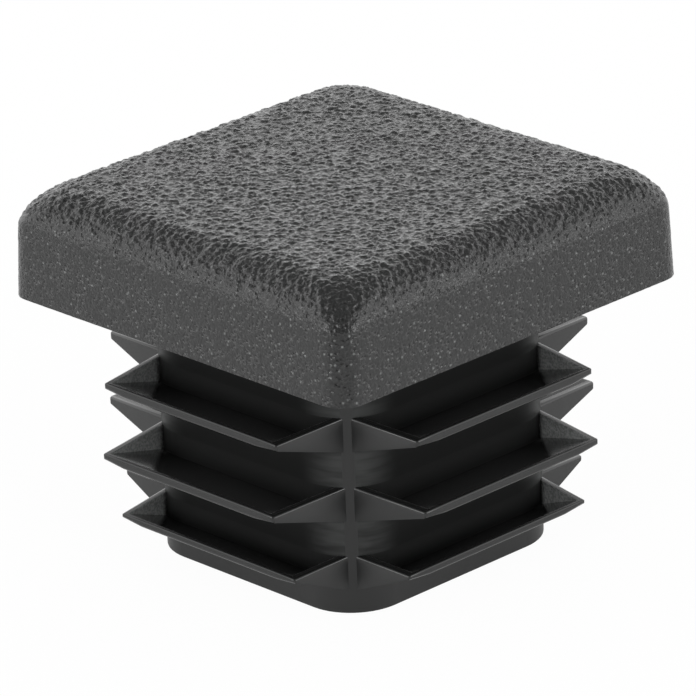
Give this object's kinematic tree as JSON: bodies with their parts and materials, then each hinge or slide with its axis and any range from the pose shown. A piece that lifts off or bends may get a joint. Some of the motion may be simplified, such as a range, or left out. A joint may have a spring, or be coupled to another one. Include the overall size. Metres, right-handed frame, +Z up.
{
  "type": "tube end cap",
  "caption": "Square plug that closes the end of a square tube: a flush head with a soft top edge on a hollow insert with gripping fins.",
  "frame": {"origin": "centre of the insert's open end, on the surface the cap stands on", "axes": "+Z up through the middle of the head, out of the tube; X and Y square to the sides"},
  "size_m": [0.02, 0.02, 0.0163],
  "materials": {
    "moulding": "grained on the head, smooth satin on the insert and fins"
  },
  "bodies": {
    "root": {"end_cap": "moulding"}
  },
  "joints": []
}
